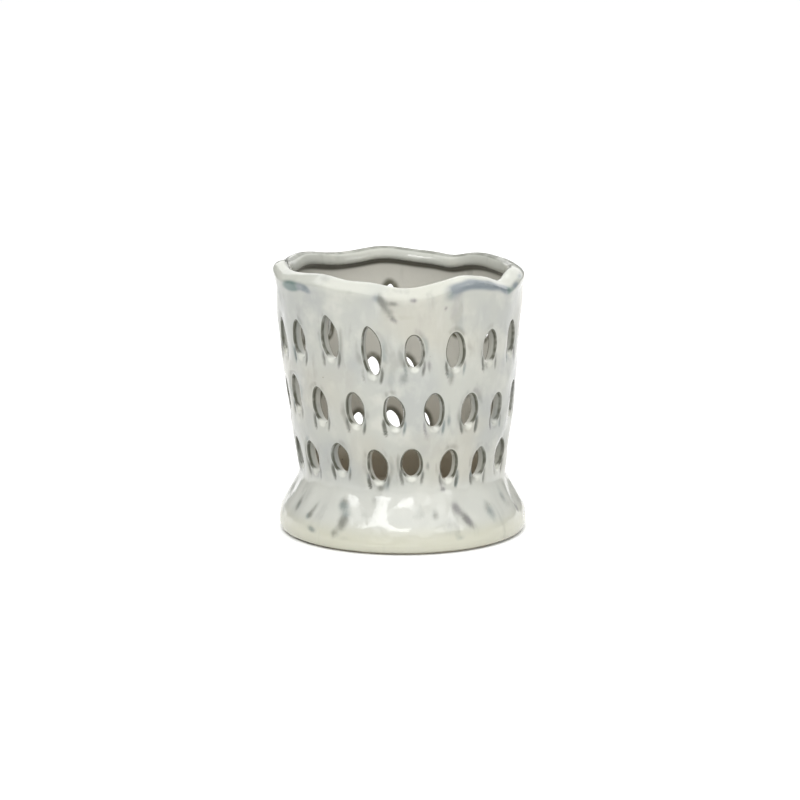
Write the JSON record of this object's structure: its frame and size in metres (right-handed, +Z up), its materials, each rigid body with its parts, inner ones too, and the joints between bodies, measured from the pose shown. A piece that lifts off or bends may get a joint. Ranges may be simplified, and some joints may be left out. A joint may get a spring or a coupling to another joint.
{
  "type": "flower frog",
  "caption": "Round glazed stoneware flower frog with a wavy rolled rim, a wall pierced with rows of leaf-shaped stem holes, and a flared foot.",
  "frame": {"origin": "on the table, under the middle of the pot", "axes": "+Z up through the mouth; -Y towards the front, where the rim dips; the rim leans a little towards -X"},
  "size_m": [0.1033, 0.1018, 0.11],
  "materials": {
    "white_glaze": "gloss",
    "bare_stoneware": "matte"
  },
  "bodies": {
    "root": {"rim_coil": "white_glaze", "pierced_wall": "white_glaze", "flared_foot": "white_glaze", "floor_slab": "white_glaze", "foot_ring": "bare_stoneware"}
  },
  "joints": []
}
